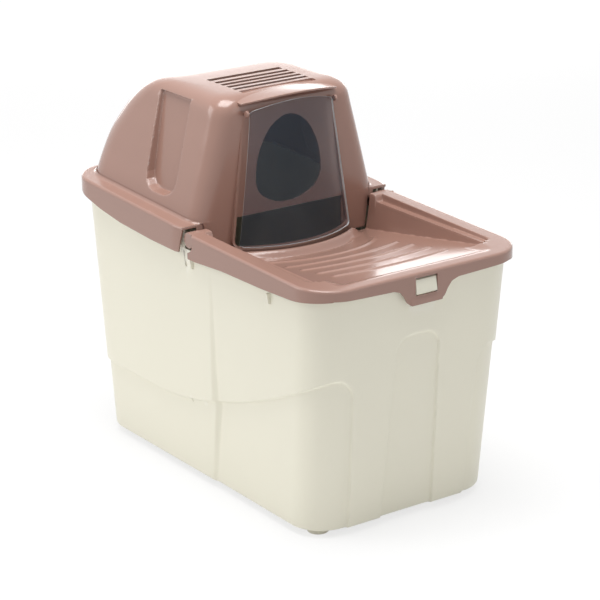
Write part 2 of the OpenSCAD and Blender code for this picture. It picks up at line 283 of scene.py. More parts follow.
def add_rod(bm, x0, x1, y, z, r, segments=48):
    """A cylinder along X."""
    made = bmesh.ops.create_cone(
        bm,
        cap_ends=True,
        segments=segments,
        radius1=r * MM,
        radius2=r * MM,
        depth=abs(x1 - x0) * MM,
        matrix=Matrix.Translation(Vector(((x0 + x1) / 2, y, z)) * MM)
        @ Matrix.Rotation(math.pi / 2, 4, "Y"),
    )
    return made["verts"]


def face_forward(bm):
    """Turns every face of a sheet to the front."""
    bm.normal_update()
    bmesh.ops.reverse_faces(bm, faces=[f for f in bm.faces if f.normal.y > 0])


# ------------------------------------------------------------------ materials

# Mix node sockets of the colour kind
MIX_A, MIX_B, MIX_RESULT = 6, 7, 2
# Pointiness over which a sharp edge is painted lighter, a painted highlight, and how much
EDGE_GLINT_FROM, EDGE_GLINT_TO, EDGE_GLINT_SHARE = 0.53, 0.65, 0.3


def plastic(name, color, rough, grain=0.002, coat=0.0, vary=0.03, bump=0.12):
    """Moulded plastic: tone drift, a painted highlight on sharp edges, uneven gloss and a fine
    skin.

    grain is the size of the skin's texture in metres.
    """
    mat = bpy.data.materials.new(name)
    mat.use_nodes = True
    nodes, links = mat.node_tree.nodes, mat.node_tree.links
    shader = nodes["Principled BSDF"]
    where = nodes.new("ShaderNodeTexCoord")

    def noise(scale, detail):
        n = nodes.new("ShaderNodeTexNoise")
        n.inputs["Scale"].default_value = scale
        n.inputs["Detail"].default_value = detail
        links.new(where.outputs["Object"], n.inputs["Vector"])
        return n

    broad, fine, smear = noise(7, 2), noise(1 / grain, 1), noise(12, 2)
    tone = nodes.new("ShaderNodeMix")
    tone.data_type = "RGBA"
    tone.inputs[MIX_A].default_value = (*[c * (1 - vary) for c in color], 1)
    tone.inputs[MIX_B].default_value = (*[min(1, c * (1 + vary)) for c in color], 1)
    links.new(broad.outputs["Fac"], tone.inputs[0])
    # painted highlight: convex edges, found by pointiness, are mixed towards a paler tone
    edges = nodes.new("ShaderNodeNewGeometry")
    edge_glint = nodes.new("ShaderNodeMapRange")
    edge_glint.inputs["From Min"].default_value = EDGE_GLINT_FROM
    edge_glint.inputs["From Max"].default_value = EDGE_GLINT_TO
    edge_glint.inputs["To Max"].default_value = EDGE_GLINT_SHARE
    links.new(edges.outputs["Pointiness"], edge_glint.inputs["Value"])
    glinted = nodes.new("ShaderNodeMix")
    glinted.data_type = "RGBA"
    glinted.inputs[MIX_B].default_value = (*[0.6 * c + 0.4 for c in color], 1)
    links.new(edge_glint.outputs["Result"], glinted.inputs[0])
    links.new(tone.outputs[MIX_RESULT], glinted.inputs[MIX_A])
    links.new(glinted.outputs[MIX_RESULT], shader.inputs["Base Color"])
    gloss = nodes.new("ShaderNodeMapRange")
    gloss.inputs["To Min"].default_value = rough * 0.9
    gloss.inputs["To Max"].default_value = rough * 1.12
    links.new(smear.outputs["Fac"], gloss.inputs["Value"])
    links.new(gloss.outputs["Result"], shader.inputs["Roughness"])
    skin = nodes.new("ShaderNodeBump")
    skin.inputs["Strength"].default_value = bump
    skin.inputs["Distance"].default_value = 0.00005
    links.new(fine.outputs["Fac"], skin.inputs["Height"])
    links.new(skin.outputs["Normal"], shader.inputs["Normal"])
    shader.inputs["Coat Weight"].default_value = coat
    shader.inputs["Coat Roughness"].default_value = 0.08
    return mat


def felt(name, color):
    """Pressed fibre pad."""
    mat = plastic(name, color, 0.95, grain=0.0009, vary=0.35, bump=1.0)
    shader = mat.node_tree.nodes["Principled BSDF"]
    shader.inputs["Sheen Weight"].default_value = 0.3
    return mat


_made = {}


def make_finish(kind):
    colors = bpy.context.scene.litter_colors
    if kind == "rose":
        return plastic("rose_plastic", colors.rose[:], 0.22, coat=0.25)
    if kind == "ivory":
        return plastic("ivory_plastic", colors.ivory[:], 0.38, coat=0.08, vary=0.012)
    if kind == "smoke":
        mat = plastic("smoke_plastic", colors.smoke[:], 0.09, vary=0.1, bump=0.02, coat=0.3)
        mat.node_tree.nodes["Principled BSDF"].inputs["Alpha"].default_value = 0.22
        return mat
    if kind == "edge":
        # light caught in the cut edge of the flap
        pale = [0.78 + 0.2 * c for c in colors.smoke]
        return plastic("smoke_edge", pale, 0.15, vary=0.1, bump=0.02)
    if kind == "tray":
        return plastic("tray_plastic", colors.tray[:], 0.5)
    return felt("filter_felt", colors.felt[:])


def material(kind):
    """Each finish, made once from the colours in the settings."""
    if kind not in _made:
        _made[kind] = make_finish(kind)
    return _made[kind]


# ------------------------------------------------------------------------ bin

# shares of half the way round at which sides and corners change
BIN_CUTS = (0.13, 0.23, 0.77, 0.87)
BIN_FLOOR = 8.0
BIN_RISE = 332.0
BIN_HALF_X, BIN_HALF_Y, BIN_CORNER = 148.5, 251, 50
DRAFT_X, DRAFT_Y = 8, 30
FOOT_R = 5
ARCH_TOP, PANEL_TOP, REAR_TOP = 256.0, 222.0, 104.0
NOTCH_Z = 321
# heights, and how deep the front half of the side stands back there
FLANK_KEYS = ([8, 20, 103, 104.5, 122, 306], [2.2, 3.0, 5.2, 5.2, 5.4, 0.2])
LATCH_SLOT_X, LATCH_SLOT_Z = 18.5, 296
GUSSETS = ((-174, 299), (-3, 298), (188, 320))


def corner_inside(a, b, r):
    """Distance inside a quadrant whose corner is rounded by r."""
    near = (a < r) & (b < r)
    return np.where(near, r - np.hypot(r - a, r - b), np.minimum(a, b))


def step_inside(x, y, z):
    """Distance inside the stepped panels and the middle arch of the bin."""
    a = np.abs(x)
    wave = REAR_TOP + 0.0066 * np.maximum(88 - y, 0) ** 1.66
    top = np.minimum(PANEL_TOP, wave)
    leg = np.interp(z, [0, 186, 260], [91.5, 97, 99])
    front = y < -200
    over = np.where(front, a - leg, 99.0)
    panel = corner_inside(over, top - z, 30)
    half = np.interp(z, [0, 236, 260], [41, 33, 32])
    arch = corner_inside(np.where(front, half - a, -99.0), ARCH_TOP - z, 21)
    return np.maximum(panel, arch)


def flank_edge(low, z):
    """y of the line from which the front half of each side stands back."""
    return np.where(low, -47 + (119 - z) * 0.118, -44.5)


def flank_depth(x, y, z):
    """How far the front half of each side stands back behind the rear half."""
    low = step_inside(x, y, z) > 0
    edge = flank_edge(low, z)
    run = np.where(low, 10.0, np.interp(z, [122, 306], [11, 5]))
    deep = np.interp(z, *FLANK_KEYS)
    t = np.clip((edge + run - y) / run, 0, 1)
    fade = np.clip((y + 225) / (edge + 225), 0, 1)
    return np.where(np.abs(x) > 120, deep * t * t * (3 - 2 * t) * fade, 0.0)


def flank_near(x, y, z):
    """Distance to that line, for the size of the faces."""
    edge = flank_edge(z < 119, z)
    away = np.where(np.abs(x) > 120, np.abs(y - edge - 5) - 6, 99.0)
    return np.maximum(away, 0.2)


def bin_half_x(z):
    """Half the width of the bin, which widens upwards."""
    return BIN_HALF_X + (z - BIN_FLOOR) * DRAFT_X / BIN_RISE


def bin_top(y):
    """The bin's edge, under the lids' walls, with a notch at the hinge."""
    front, rear = band_z(y) - BAND_WALL - BIN_GAP, flange_z(y) - BAND_WALL - BIN_GAP
    edge = np.where(y < AXIS_Y, front, rear)
    notch = ease(KNUCKLE_R + 5 - np.abs(y - AXIS_Y), 1.0)
    return edge + (NOTCH_Z - edge) * notch


def bin_place(uv):
    """u runs round the bin, v from its floor to its edge."""
    u, v = uv[:, 0], uv[:, 1]
    _, y, _, _ = outline(u, 152, -270, 270, BIN_CORNER, BIN_CORNER, BIN_CUTS)
    z = BIN_FLOOR + (bin_top(y) - BIN_FLOOR) * v
    low = np.clip(FOOT_R - (z - BIN_FLOOR), 0, FOOT_R)
    inset = FOOT_R - np.sqrt(FOOT_R**2 - low * low)
    hw = bin_half_x(z) - inset
    hl = BIN_HALF_Y + (z - BIN_FLOOR) * DRAFT_Y / BIN_RISE - inset
    r = BIN_CORNER - inset
    x, y, nx, ny = outline(u, hw, -hl, hl, r, r, BIN_CUTS)
    depth = size("step_depth") * ease(step_inside(x, y, z), 1.3)
    depth = depth + flank_depth(x, y, z)
    return np.stack([x - nx * depth, y - ny * depth, z], axis=1)


def bin_wanted(p):
    """Face size: fine along steps, panel edges and notches."""
    x, y, z = p.T
    near = np.minimum(np.abs(step_inside(x, y, z)), flank_near(x, y, z) + 1.2)
    wide = np.clip(1.3 + 0.45 * near, 1.3, 16)
    corner = (np.abs(x) > 96) & (np.abs(y) > 196)
    wide = np.where(corner, np.minimum(wide, 6), wide)
    wide = np.where(z < 16, np.minimum(wide, 4), wide)
    notch = (np.abs(np.abs(y - AXIS_Y) - KNUCKLE_R - 5) < 3) & (z > 310)
    return np.where(notch, 1.5, wide)


def build_bin():
    """Walls and floor of the bin, the latch's slot and the gussets."""
    bm = new_grid(150, 26)
    refine(bm, bin_place, bin_wanted)
    settle(bm, bin_place)
    bmesh.ops.remove_doubles(bm, verts=bm.verts, dist=MERGE)

    def front_top(x, y, z):
        return (y < -270) & (np.abs(x) < 40) & (z > 270)

    def latch_slot(x, y, z):
        return (y < -270) & (np.abs(x) < LATCH_SLOT_X) & (z > LATCH_SLOT_Z) & (z < 333)

    for x in (-LATCH_SLOT_X, LATCH_SLOT_X):
        slice_at(bm, (x, 0, 0), (1, 0, 0), front_top)
    slice_at(bm, (0, 0, LATCH_SLOT_Z), (0, 0, 1), front_top)
    drop(bm, latch_slot)
    base = [e for e in bm.edges if e.is_boundary and e.verts[0].co.z < (BIN_FLOOR + 0.1) * MM]
    bmesh.ops.edgeloop_fill(bm, edges=base)
    for f in bm.faces:
        if f.normal.z > 0.9 and f.calc_center_median().z < (BIN_FLOOR + 1) * MM:
            f.normal_flip()
    add_object(
        "bin_shell", bm, material("ivory"), "bin_body",
        ["bin"], wall=size("bin_wall"), edge=0.7, angle=60,
    )
    build_gussets()


def build_gussets():
    """Small wedges under the rim, narrower at their foot."""
    bm = bmesh.new()
    for side in (-1, 1):
        for y, low in GUSSETS:
            made = add_box(bm, (-2, y - 1.5, low), (5.3, y + 1.5, low + 14))
            for v in made:
                z = v.co.z / MM
                reach = v.co.x / MM if z > low + 7 else min(v.co.x / MM, 3.0)
                v.co.x = side * (bin_half_x(z) + reach) * MM
    add_object("bin_gussets", bm, material("ivory"), "bin_body", edge=0.4)


# ------------------------------------------------------------------ front lid

# each rib's distance from the front edge at mid-width, and its radius
RIBS = ((181, 119), (153, 221), (123, 259), (94, 380), (63, 400))
FRONT_Y = -286
PAN_X, PAN_Y = 146.0, -272.0
PAN_CORNER = 36
LEDGE_Z = 337.5
# half widths, and the lower edge of the skirt with its latch tab there
TAB = ((0, 24, 29, 34, 40, 50, 100, 147, 200), (300, 300, 304, 313, 320, 323.4, 325, 327, 327))
SKIRT_SIDE = ([-286, -230, -167, -81, -22, -4], [326.5, 320.6, 318, 317, 313, 312.7])
WINDOW_X, WINDOW_LOW, WINDOW_TOP = 17, 311, 334
CUT_R = FLAP_R + 5.5


def lid_features(x, y):
    """Distances to the ramp's ribs, bowl, ledges and walls."""
    a = np.abs(x)
    rib = np.full(x.shape, -99.0)
    for d, r in RIBS:
        cy = FRONT_Y + d + r
        ring = 1.8 - np.abs(np.hypot(x, y - cy) - r)
        ring = np.minimum(ring, 88 - a)
        rib = np.maximum(rib, np.where(y < cy, ring, -99.0))
    bowl = 100 - np.hypot(x, y - 32)
    ledge = 5.5 - np.hypot(a - 136.5, np.minimum(y + 232, 0))
    return a, rib, bowl, ledge


def ramp_z(y):
    """The plain ramp, which falls towards the flap."""
    return 298.1 - 0.154 * y


def lid_top(x, y):
    """Height of the front lid's pan: ramp, ribs, walls, ledges and rim."""
    a, rib, bowl, ledge = lid_features(x, y)
    band = band_z(y)
    ramp = ramp_z(y) + size("rib_height") * ease(rib, 2.3) - 4.5 * ease(bowl, 4.0)
    wall = np.minimum(LEDGE_Z + (a - 131) / 0.2, band)
    z = soft_max(ramp, wall, 2.0)
    z = z + (LEDGE_Z - z) * ease(ledge, 0.9) * (a > 130)
    round_end = np.where(y < -226, np.hypot(a - 127, y + 226) - 15.5, -9.0)
    corner = np.clip((a - 108) / 16, 0, 1)
    z = z + (band - z) * ease(round_end, 1.2) * corner * corner * (3 - 2 * corner)
    out = np.hypot(x, y - FLAP_CY)
    z = z + np.maximum(311.5 - z, 0) * ease(163 - out, 5.5) * ease(98 - a, 14.0)
    z = np.minimum(z, band)
    house = np.minimum(y + 13, a - 129.5)
    z = z + (band - z) * ease(house, 2.5)
    return z + (band - z) * ease(-266 - y, 5.0)


def pan_place(at):
    """Height of the pan, its two front corners rounded."""
    r = PAN_CORNER
    p = np.clip((np.abs(at[:, 0]) - (PAN_X - r)) / r, 0, 1)
    q = np.clip((PAN_Y + r - at[:, 1]) / r, 0, 1)
    x = at[:, 0] - np.sign(at[:, 0]) * r * p * (1 - np.sqrt(1 - q * q / 2))
    y = at[:, 1] + r * q * (1 - np.sqrt(1 - p * p / 2))
    return np.stack([x, y, lid_top(x, y)], axis=1)


def pan_wanted(p):
    """Face size: fine along ribs, walls and ledges, untouched at the rim."""
    x, y, z = p.T
    a, rib, bowl, ledge = lid_features(x, y)
    near = np.minimum(np.abs(rib), np.abs(ledge))
    round_end = np.abs(np.hypot(a - 127, y + 226) - 15.5) + (y > -222) * 9
    near = np.minimum(near, round_end)
    foot = 131 - (LEDGE_Z - ramp_z(y)) * 0.2
    near = np.minimum(near, np.abs(a - foot))
    near = np.minimum(near, np.abs(a - 131))
    near = np.minimum(near, np.abs(y + 13) + (a < 126) * 9)
    wide = np.clip(1.2 + 0.45 * near, 1.2, 9)
    cut = np.abs(np.hypot(x, y - FLAP_CY) - CUT_R)
    wide = np.minimum(wide, np.clip(1.5 + 0.5 * cut, 1.5, 9))
    wide = np.minimum(wide, np.clip(2 + 0.5 * np.abs(bowl), 2, 9))
    rim = (a > PAN_X - 1) | (y < PAN_Y + 1)
    return np.where(rim, 1e3, wide)


def rim_point(x0, y0, inset):
    """Where a point of the pan's rim goes on the lid's outline, and its normal."""
    side = -1 if x0 < 0 else 1
    a = abs(x0)
    if y0 > -236:
        return side * (164 - inset), y0, side, 0.0
    leg, run = 236 + PAN_Y, PAN_X - 114
    s = (-236 - y0) if a >= PAN_X - 1e-3 else -leg + (PAN_X - a)
    turn = min(s / (run - leg), 1) * math.pi / 2
    if a <= 114:
        return x0, FRONT_Y + inset, 0.0, -1.0
    r = 50 - inset
    nx, ny = side * math.cos(turn), -math.sin(turn)
    return side * 114 + r * nx, -236 + r * ny, nx, ny


def skirt_low(x, y):
    """Lower edge of the front lid's skirt."""
    if y > -280 and abs(x) > 120:
        return float(np.interp(y, *SKIRT_SIDE))
    return float(np.interp(abs(x), *TAB))


def lid_rows():
    """Rim rows from the pan out: inset, drop, and share of the way down the skirt."""
    r = 3.5
    turns = (math.pi / 8, math.pi / 4, math.pi * 3 / 8, math.pi / 2)
    rows = [(12.0, 0.0, 0.0), (4.0, 0.0, 0.0)]
    rows += [(r * (1 - math.sin(t)), r * (1 - math.cos(t)), 0.0) for t in turns]
    return rows + [(0.0, r, f) for f in (0.2, 0.4, 0.6, 0.75, 0.88, 0.93, 1.0)]


def add_rim(bm, rim, source):
    """Extrudes the pan's rim row by row over the band and down the skirt.

    source holds the flat x and y of each point of the rim.
    """
    def key(v):
        return tuple(round(c, 6) for c in v.co)

    edge = rim
    for inset, down, part in lid_rows():
        made = bmesh.ops.extrude_edge_only(bm, edges=edge)["geom"]
        edge = [g for g in made if isinstance(g, bmesh.types.BMEdge)]
        old = {key(v): at for v, at in source.items()}
        source = {v: old[key(v)] for v in {v for e in edge for v in e.verts}}
        for v, (x0, y0) in source.items():
            x, y, nx, ny = rim_point(x0, y0, inset)
            z = band_z(y) - down
            if part:
                z += (skirt_low(x, y) - z) * part
                lip = 2.0 * float(ease(np.array(304.2 - z), 1.2)) * (abs(x) < 25) * (y < -280)
                x, y = x + nx * lip, y + ny * lip
            v.co = Vector((x, y, z)) * MM


def cut_hinge(bm):
    """Ends the skirt at the hinge, round the knuckle."""
    def reach(x, y, z):
        return np.hypot(y - AXIS_Y, z - AXIS_Z)

    slice_at(bm, (0, -4, 0), (0, 1, 0), lambda x, y, z: (np.abs(x) > 161) & (y > -24))
    drop(bm, lambda x, y, z: (np.abs(x) > 161) & ((reach(x, y, z) < HOUSING_R) | (y > -4)))
    snap(
        bm,
        lambda x, y, z: abs(x) > 161 and 12 < reach(x, y, z) < 18 and y > -18,
        lambda x, y, z: (
            x,
            AXIS_Y + (y - AXIS_Y) * HOUSING_R / reach(x, y, z),
            AXIS_Z + (z - AXIS_Z) * HOUSING_R / reach(x, y, z),
        ),
    )


def cut_window(bm):
    """The latch's window in the tab."""
    def tab(x, y, z):
        return (y < -280) & (np.abs(x) < 40) & (z > 302) & (z < 338)

    for x in (-WINDOW_X, WINDOW_X):
        slice_at(bm, (x, 0, 0), (1, 0, 0), tab)
    for z in (WINDOW_LOW, WINDOW_TOP):
        slice_at(bm, (0, 0, z), (0, 0, 1), tab)
    drop(bm, lambda x, y, z: (
        (y < -284) & (np.abs(x) < WINDOW_X) & (z > WINDOW_LOW) & (z < WINDOW_TOP)))


def cut_for_flap(bm):
    """The round end of the ramp in front of the flap."""
    def out(x, y):
        return np.hypot(x, y - FLAP_CY)

    drop(bm, lambda x, y, z: (out(x, y) < CUT_R) & (np.abs(x) < 130))
    snap(
        bm,
        lambda x, y, z: abs(x) < 117 and abs(out(x, y) - CUT_R) < 2.5 and y < -1.3,
        lambda x, y, z: (
            x * CUT_R / out(x, y),
            FLAP_CY + (y - FLAP_CY) * CUT_R / out(x, y),
            z,
        ),
    )


def build_front_lid():
    """Ramp lid: pan, rim band, skirt, latch window and hinge knuckles."""
    bm = bmesh.new()
    bmesh.ops.create_grid(bm, x_segments=148, y_segments=90, size=0.5)
    for v in bm.verts:
        v.co = (v.co.x * 2 * PAN_X, PAN_Y / 2 - 0.5 + v.co.y * (-PAN_Y - 1), 0)
    refine(bm, pan_place, pan_wanted, 3)
    rim = [
        e for e in bm.edges
        if e.is_boundary and max(v.co.y for v in e.verts) - 1e-4 < -1.0
        and (min(abs(v.co.x) for v in e.verts) > PAN_X - 0.01
             or max(v.co.y for v in e.verts) < PAN_Y + 0.01)
    ]
    source = {v: (v.co.x, v.co.y) for e in rim for v in e.verts}
    settle(bm, pan_place)
    add_rim(bm, rim, source)
    cut_hinge(bm)
    cut_window(bm)
    cut_for_flap(bm)
    add_object(
        "front_lid_shell", bm, material("rose"), "front_lid_body",
        ["front_lid"], wall=size("lid_wall"), edge=0.6, angle=60,
    )
    bm = bmesh.new()
    for side in (-1, 1):
        add_rod(bm, side * 142.3, side * 160.2, AXIS_Y, AXIS_Z, KNUCKLE_R, 64)
        x0, x1 = sorted((side * 157, side * 159.6))
        add_box(bm, (x0, -34, 318), (x1, -9, 345))
    add_object("front_lid_knuckles", bm, material("rose"), "front_lid_body",
               edge=0.8)


# ----------------------------------------------------------------------- hood

HOOD_CUTS = (0.12, 0.24, 0.66, 0.76)
HOOD_KEYS = (
    # z, half width, front, rear, front radius, rear radius
    (352, 145, 3, 283, 25, 50),
    (366, 141.4, 3, 282.6, 25, 50),
    (386, 136, 3, 281, 25, 50),
    (407, 130.5, 3, 277, 25, 50),
    (428, 124.8, 3, 268, 25, 50),
    (446, 120, 3, 256, 25, 50),
    (464, 115, 3, 243, 25, 50),
    (476, 111.8, 3, 231.5, 25, 50),
    (486, 109.2, 3.2, 219.5, 25, 49),
    (493, 107, 4.2, 208, 25, 46),
    (498.5, 104, 6.2, 196.5, 25, 42),
    (503, 99.8, 9.6, 184, 25, 38),
    (506.3, 94.5, 14.2, 168, 24, 33),
    (508.3, 88, 19.5, 146, 22, 27),
    (509.2, 78, 27, 105, 18, 20),
    (509.4, 60, 38, 62, 11, 11),
)
# outline of the side grips
GRIP = [(66, 392), (69, 383), (76, 376), (87, 372), (113, 372), (124, 376), (131, 383),
        (134, 392), (141, 496), (71, 496)]
# half of the entrance's egg shape
EGG = [(8, 359.5), (20, 362), (32, 367), (43, 374), (49, 382), (52, 392), (52, 403),
       (50.5, 416), (48, 428), (43.5, 440), (36.5, 453), (29, 463), (20, 470), (11, 474.5),
       (4, 476.5)]
EGG_LOOP = EGG + [(-x, z) for x, z in reversed(EGG)]
# roof slots: middle and width
SLOTS = ((26, 10), (42, 8), (56, 8), (70, 8), (84, 8), (101, 10))
SLOT_X = 58.0
FLANGE_X, FLANGE_FRONT, FLANGE_REAR, FLANGE_CORNER = 166.5, -24, 288, 52
HOOD_SKIRT = ([7, 15, 80, 154, 205, 254, 288], [317, 317, 318, 322, 329, 340, 345])
# the sheet's lower part is skirt, flange and foot, and has its own rows
HOOD_ROWS = 70
LOW_SHEET_ROWS = 24
LOW_V = 0.3
LOW_ROWS = 12


def hood_place(uv):
    """v below LOW_V runs up the skirt, over the flange and into the hood's foot."""
    u, v = uv[:, 0], uv[:, 1]
    t = np.clip((v - LOW_V) / (1 - LOW_V), 0, 1) * (len(HOOD_KEYS) - 1)
    z, hw, yf, yr, rf, rr = curve(HOOD_KEYS, t).T
    x, y, nx, ny = outline(u, hw, yf, yr, rf, rr, HOOD_CUTS)
    # the foot of the hood follows the sloping flange and flares into it
    base = flange_z(y)
    lift = np.clip((400 - z) / 48, 0, 1)
    z = z + (base - 352) * lift
    flare = 5 * np.clip((y - 2) / 14, 0, 1)
    k = np.clip(v / LOW_V, 0, 1) * LOW_ROWS
    foot_z = curve(HOOD_KEYS, np.zeros(1))[0]
    fx, fy, fnx, fny = outline(u, *foot_z[1:], HOOD_CUTS)
    fbase = flange_z(fy)
    # rows 8 to 12: concave foot
    turn = np.clip((k - 8) / 4, 0, 1) * math.pi / 2
    off = flare * (1 - np.sin(turn))
    gx, gy = fx + fnx * off, fy + fny * off
    gz = fbase + flare * (1 - np.cos(turn))
    # rows 0 to 8: skirt and rounded edge of the flange
    rows_in = np.interp(k, [0, 1, 2, 3, 4, 5, 6, 7, 8], [0, 0, 0, 0, 0.27, 1.03, 2.16, 3.5, 9])
    r = FLANGE_CORNER - rows_in
    sx, sy, _, _ = outline(
        u, FLANGE_X - rows_in, FLANGE_FRONT + rows_in, FLANGE_REAR - rows_in, r, r, HOOD_CUTS)
    down = np.interp(k, [0, 3, 4, 5, 6, 7, 8], [3.5, 3.5, 2.16, 1.03, 0.27, 0, 0])
    top = flange_z(sy) - down
    low = np.interp(sy, *HOOD_SKIRT)
    sz = np.where(k < 3, low + (top - low) * k / 3, top)
    lower, foot = v < LOW_V, k > 8
    x = np.where(lower, np.where(foot, gx, sx), x)
    y = np.where(lower, np.where(foot, gy, sy), y)
    z = np.where(lower, np.where(foot, gz, sz), z)
    # side grips
    a = np.abs(x)
    d = ease(inside(y, z, GRIP), 1.1) * (a > 90) * (z > 368)
    floor = 128.6 - (z - 366) * 0.212
    a = a + (np.minimum(a, floor) - a) * d
    return np.stack([np.sign(x) * a, y, z], axis=1)


def hood_wanted(p):
    """Face size: fine round the grips and the entrance."""
    x, y, z = p.T
    wide = np.full(x.shape, 7.0)
    grip = np.abs(inside(y, z, GRIP))
    on_side = (np.abs(x) > 90) & (z > 366)
    wide = np.where(on_side, np.minimum(wide, np.clip(1.0 + 0.6 * grip, 1.0, 7)), wide)
    egg = np.abs(inside(x, z, EGG_LOOP))
    front = y < 8
    return np.where(front, np.minimum(wide, np.clip(1.8 + 0.5 * egg, 1.8, 8)), wide)


def cut_roof(bm):
    """The vent slots over the filter."""
    def roof(x, y, z):
        return (z > 500) & (y < 130)

    def slot(x, y, z):
        hit = np.zeros(x.shape, bool)
        for middle, width in SLOTS:
            hit |= np.abs(y - middle) < width / 2
        return hit & (np.abs(x) < SLOT_X) & (z > 500)

    for x in (-SLOT_X, SLOT_X):
        slice_at(bm, (x, 0, 0), (1, 0, 0), roof)
    for middle, width in SLOTS:
        for y in (middle - width / 2, middle + width / 2):
            slice_at(bm, (0, y, 0), (0, 1, 0), roof)
    drop(bm, slot)


def cut_entrance(bm):
    """The egg-shaped entrance behind the flap."""
    def onto_egg(x, y, z):
        x, z = to_polygon(x, z, EGG_LOOP)
        return x, y, z

    drop(bm, lambda x, y, z: (y < 8) & (z < 480) & (inside(x, z, EGG_LOOP) > 0))
    snap(bm, lambda x, y, z: y < 8 and 355 < z < 480 and abs(x) < 56, onto_egg)


def hood_sheet():
    """The hood's flat sheet, open in front below the apron's top."""
    bm = new_grid(216, HOOD_ROWS)
    for v in bm.verts:
        row = v.co.y * HOOD_ROWS
        if row < LOW_SHEET_ROWS + 0.5:
            v.co.y = row / LOW_SHEET_ROWS * LOW_V
        else:
            share = (row - LOW_SHEET_ROWS) / (HOOD_ROWS - LOW_SHEET_ROWS)
            v.co.y = LOW_V + share * (1 - LOW_V)
    front = []
    for f in bm.faces:
        c = f.calc_center_median()
        if 1 - abs(1 - 2 * c.x) > HOOD_CUTS[3] and c.y < LOW_V:
            front.append(f)
    bmesh.ops.delete(bm, geom=front, context="FACES")
    return bm


def build_hood():
    """Hood with its flange, skirt, roof slots, grips and entrance."""
    bm = hood_sheet()
    refine(bm, hood_place, hood_wanted, 4)
    settle(bm, hood_place)
    bmesh.ops.remove_doubles(bm, verts=bm.verts, dist=MERGE)
    slice_at(bm, (0, 8, 351.5), (0, 0.974, 0.226),
             lambda x, y, z: (z < 362) & (np.abs(x) > 118) & (y < 40))
    drop(bm, lambda x, y, z: (z < 352.2) & (y < 8 + np.maximum(351.5 - z, 0) * 0.232))
    drop(bm, lambda x, y, z: (z < 353.5) & (y < 7) & (np.abs(x) > 146))
    cap = [e for e in bm.edges if e.is_boundary and e.verts[0].co.z > 509 * MM]
    bmesh.ops.edgeloop_fill(bm, edges=cap)
    bmesh.ops.recalc_face_normals(bm, faces=bm.faces)
    cut_roof(bm)
    cut_entrance(bm)
    add_object(
        "hood_shell", bm, material("rose"), "hood_body",
        ["hood"], wall=size("hood_wall"), edge=0.6, angle=60,
    )
    build_apron()
    build_hood_fittings()
    build_flap_frame()
    build_sill_lip()
    build_visor()


def build_apron():
    """The hood's front wall beside the flap, down to the ramp."""
    bm = bmesh.new()
    bmesh.ops.create_grid(bm, x_segments=80, y_segments=20, size=0.5)
    for v in bm.verts:
        z = 301 + (v.co.y + 0.5) * 52.5
        x = v.co.x * 2 * (125.3 + (z - 301) * 0.14)
        a = abs(x)
        y = 2.94 if a < 121 else 27.94 - math.sqrt(625 - (a - 121) ** 2)
        v.co = Vector((x, y, z)) * MM
    face_forward(bm)
    for x in (-86, 86):
        slice_at(bm, (x, 0, 0), (1, 0, 0))
    drop(bm, lambda x, y, z: np.abs(x) < 86)
    add_object("hood_apron", bm, material("rose"), "hood_body",
               wall=size("hood_wall"), edge=0.25, angle=60)


def build_hood_fittings():
    """Lip over the hinge, ears with their pins, and the rails of the filter tray."""
    bm = bmesh.new()
    for side in (-1, 1):
        def block(x0, x1, y0, y1, z0, z1):
            x0, x1 = sorted((side * x0, side * x1))
            add_box(bm, (x0, y0, z0), (x1, y1, z1))

        block(141.5, 163.8, 7.6, 10.1, 347.8, 351.2)
        block(124, 141.9, 7.6, 10.1, 337, 351.2)
        x0, x1 = sorted((side * 131.5, side * 141.9))
        add_rod(bm, x0, x1, AXIS_Y, AXIS_Z, 9, 48)
        block(131.5, 141.9, AXIS_Y, 17, 328, 340.5)
        add_rod(bm, side * 140.9, side * 148.5, AXIS_Y, AXIS_Z, 4, 32)
        block(69, 71.5, 26, 118, 490, 506)
        block(63.5, 69.5, 26, 118, 490, 492.5)
    add_object("hood_fittings", bm, material("rose"), "hood_body", edge=0.5)


def flap_front(x, z, r=FLAP_R):
    """y of the leaning cylinder's front at x and z."""
    back = (z - FLAP_LOW) * math.tan(LEAN_ANGLE)
    return FLAP_CY + back - np.sqrt(r * r - x * x) / math.cos(LEAN_ANGLE)


def flap_path(grow):
    """Half outline of the flap from the bottom middle up its side."""
    low = FLAP_LOW - grow
    pts = [(0, low), (83, low), (86.5 + grow, low + 1), (88.6 + grow, FLAP_LOW + 3.5),
           (89 + grow, FLAP_LOW + 6), (67 + grow, 487)]
    return np.array(pts, float)


def along(path, t):
    """Points at the shares t of a path's length."""
    step = np.hypot(*np.diff(path, axis=0).T)
    at = np.concatenate([[0], np.cumsum(step)])
    s = t * at[-1]
    return np.interp(s, at, path[:, 0]), np.interp(s, at, path[:, 1])


SILL_BACK = 5.0


def build_sill_lip():
    """Shallow lip under the flap."""
    bm = new_grid(90, 6)

    def place(uv):
        x = (uv[:, 0] - 0.5) * 178
        z = 301.5 + 11 * uv[:, 1]
        return np.stack([x, flap_front(x, z) + SILL_BACK, z], axis=1)

    settle(bm, place)
    add_object("sill_lip", bm, material("rose"), "hood_body",
               wall=2.5, edge=0.5, angle=60)


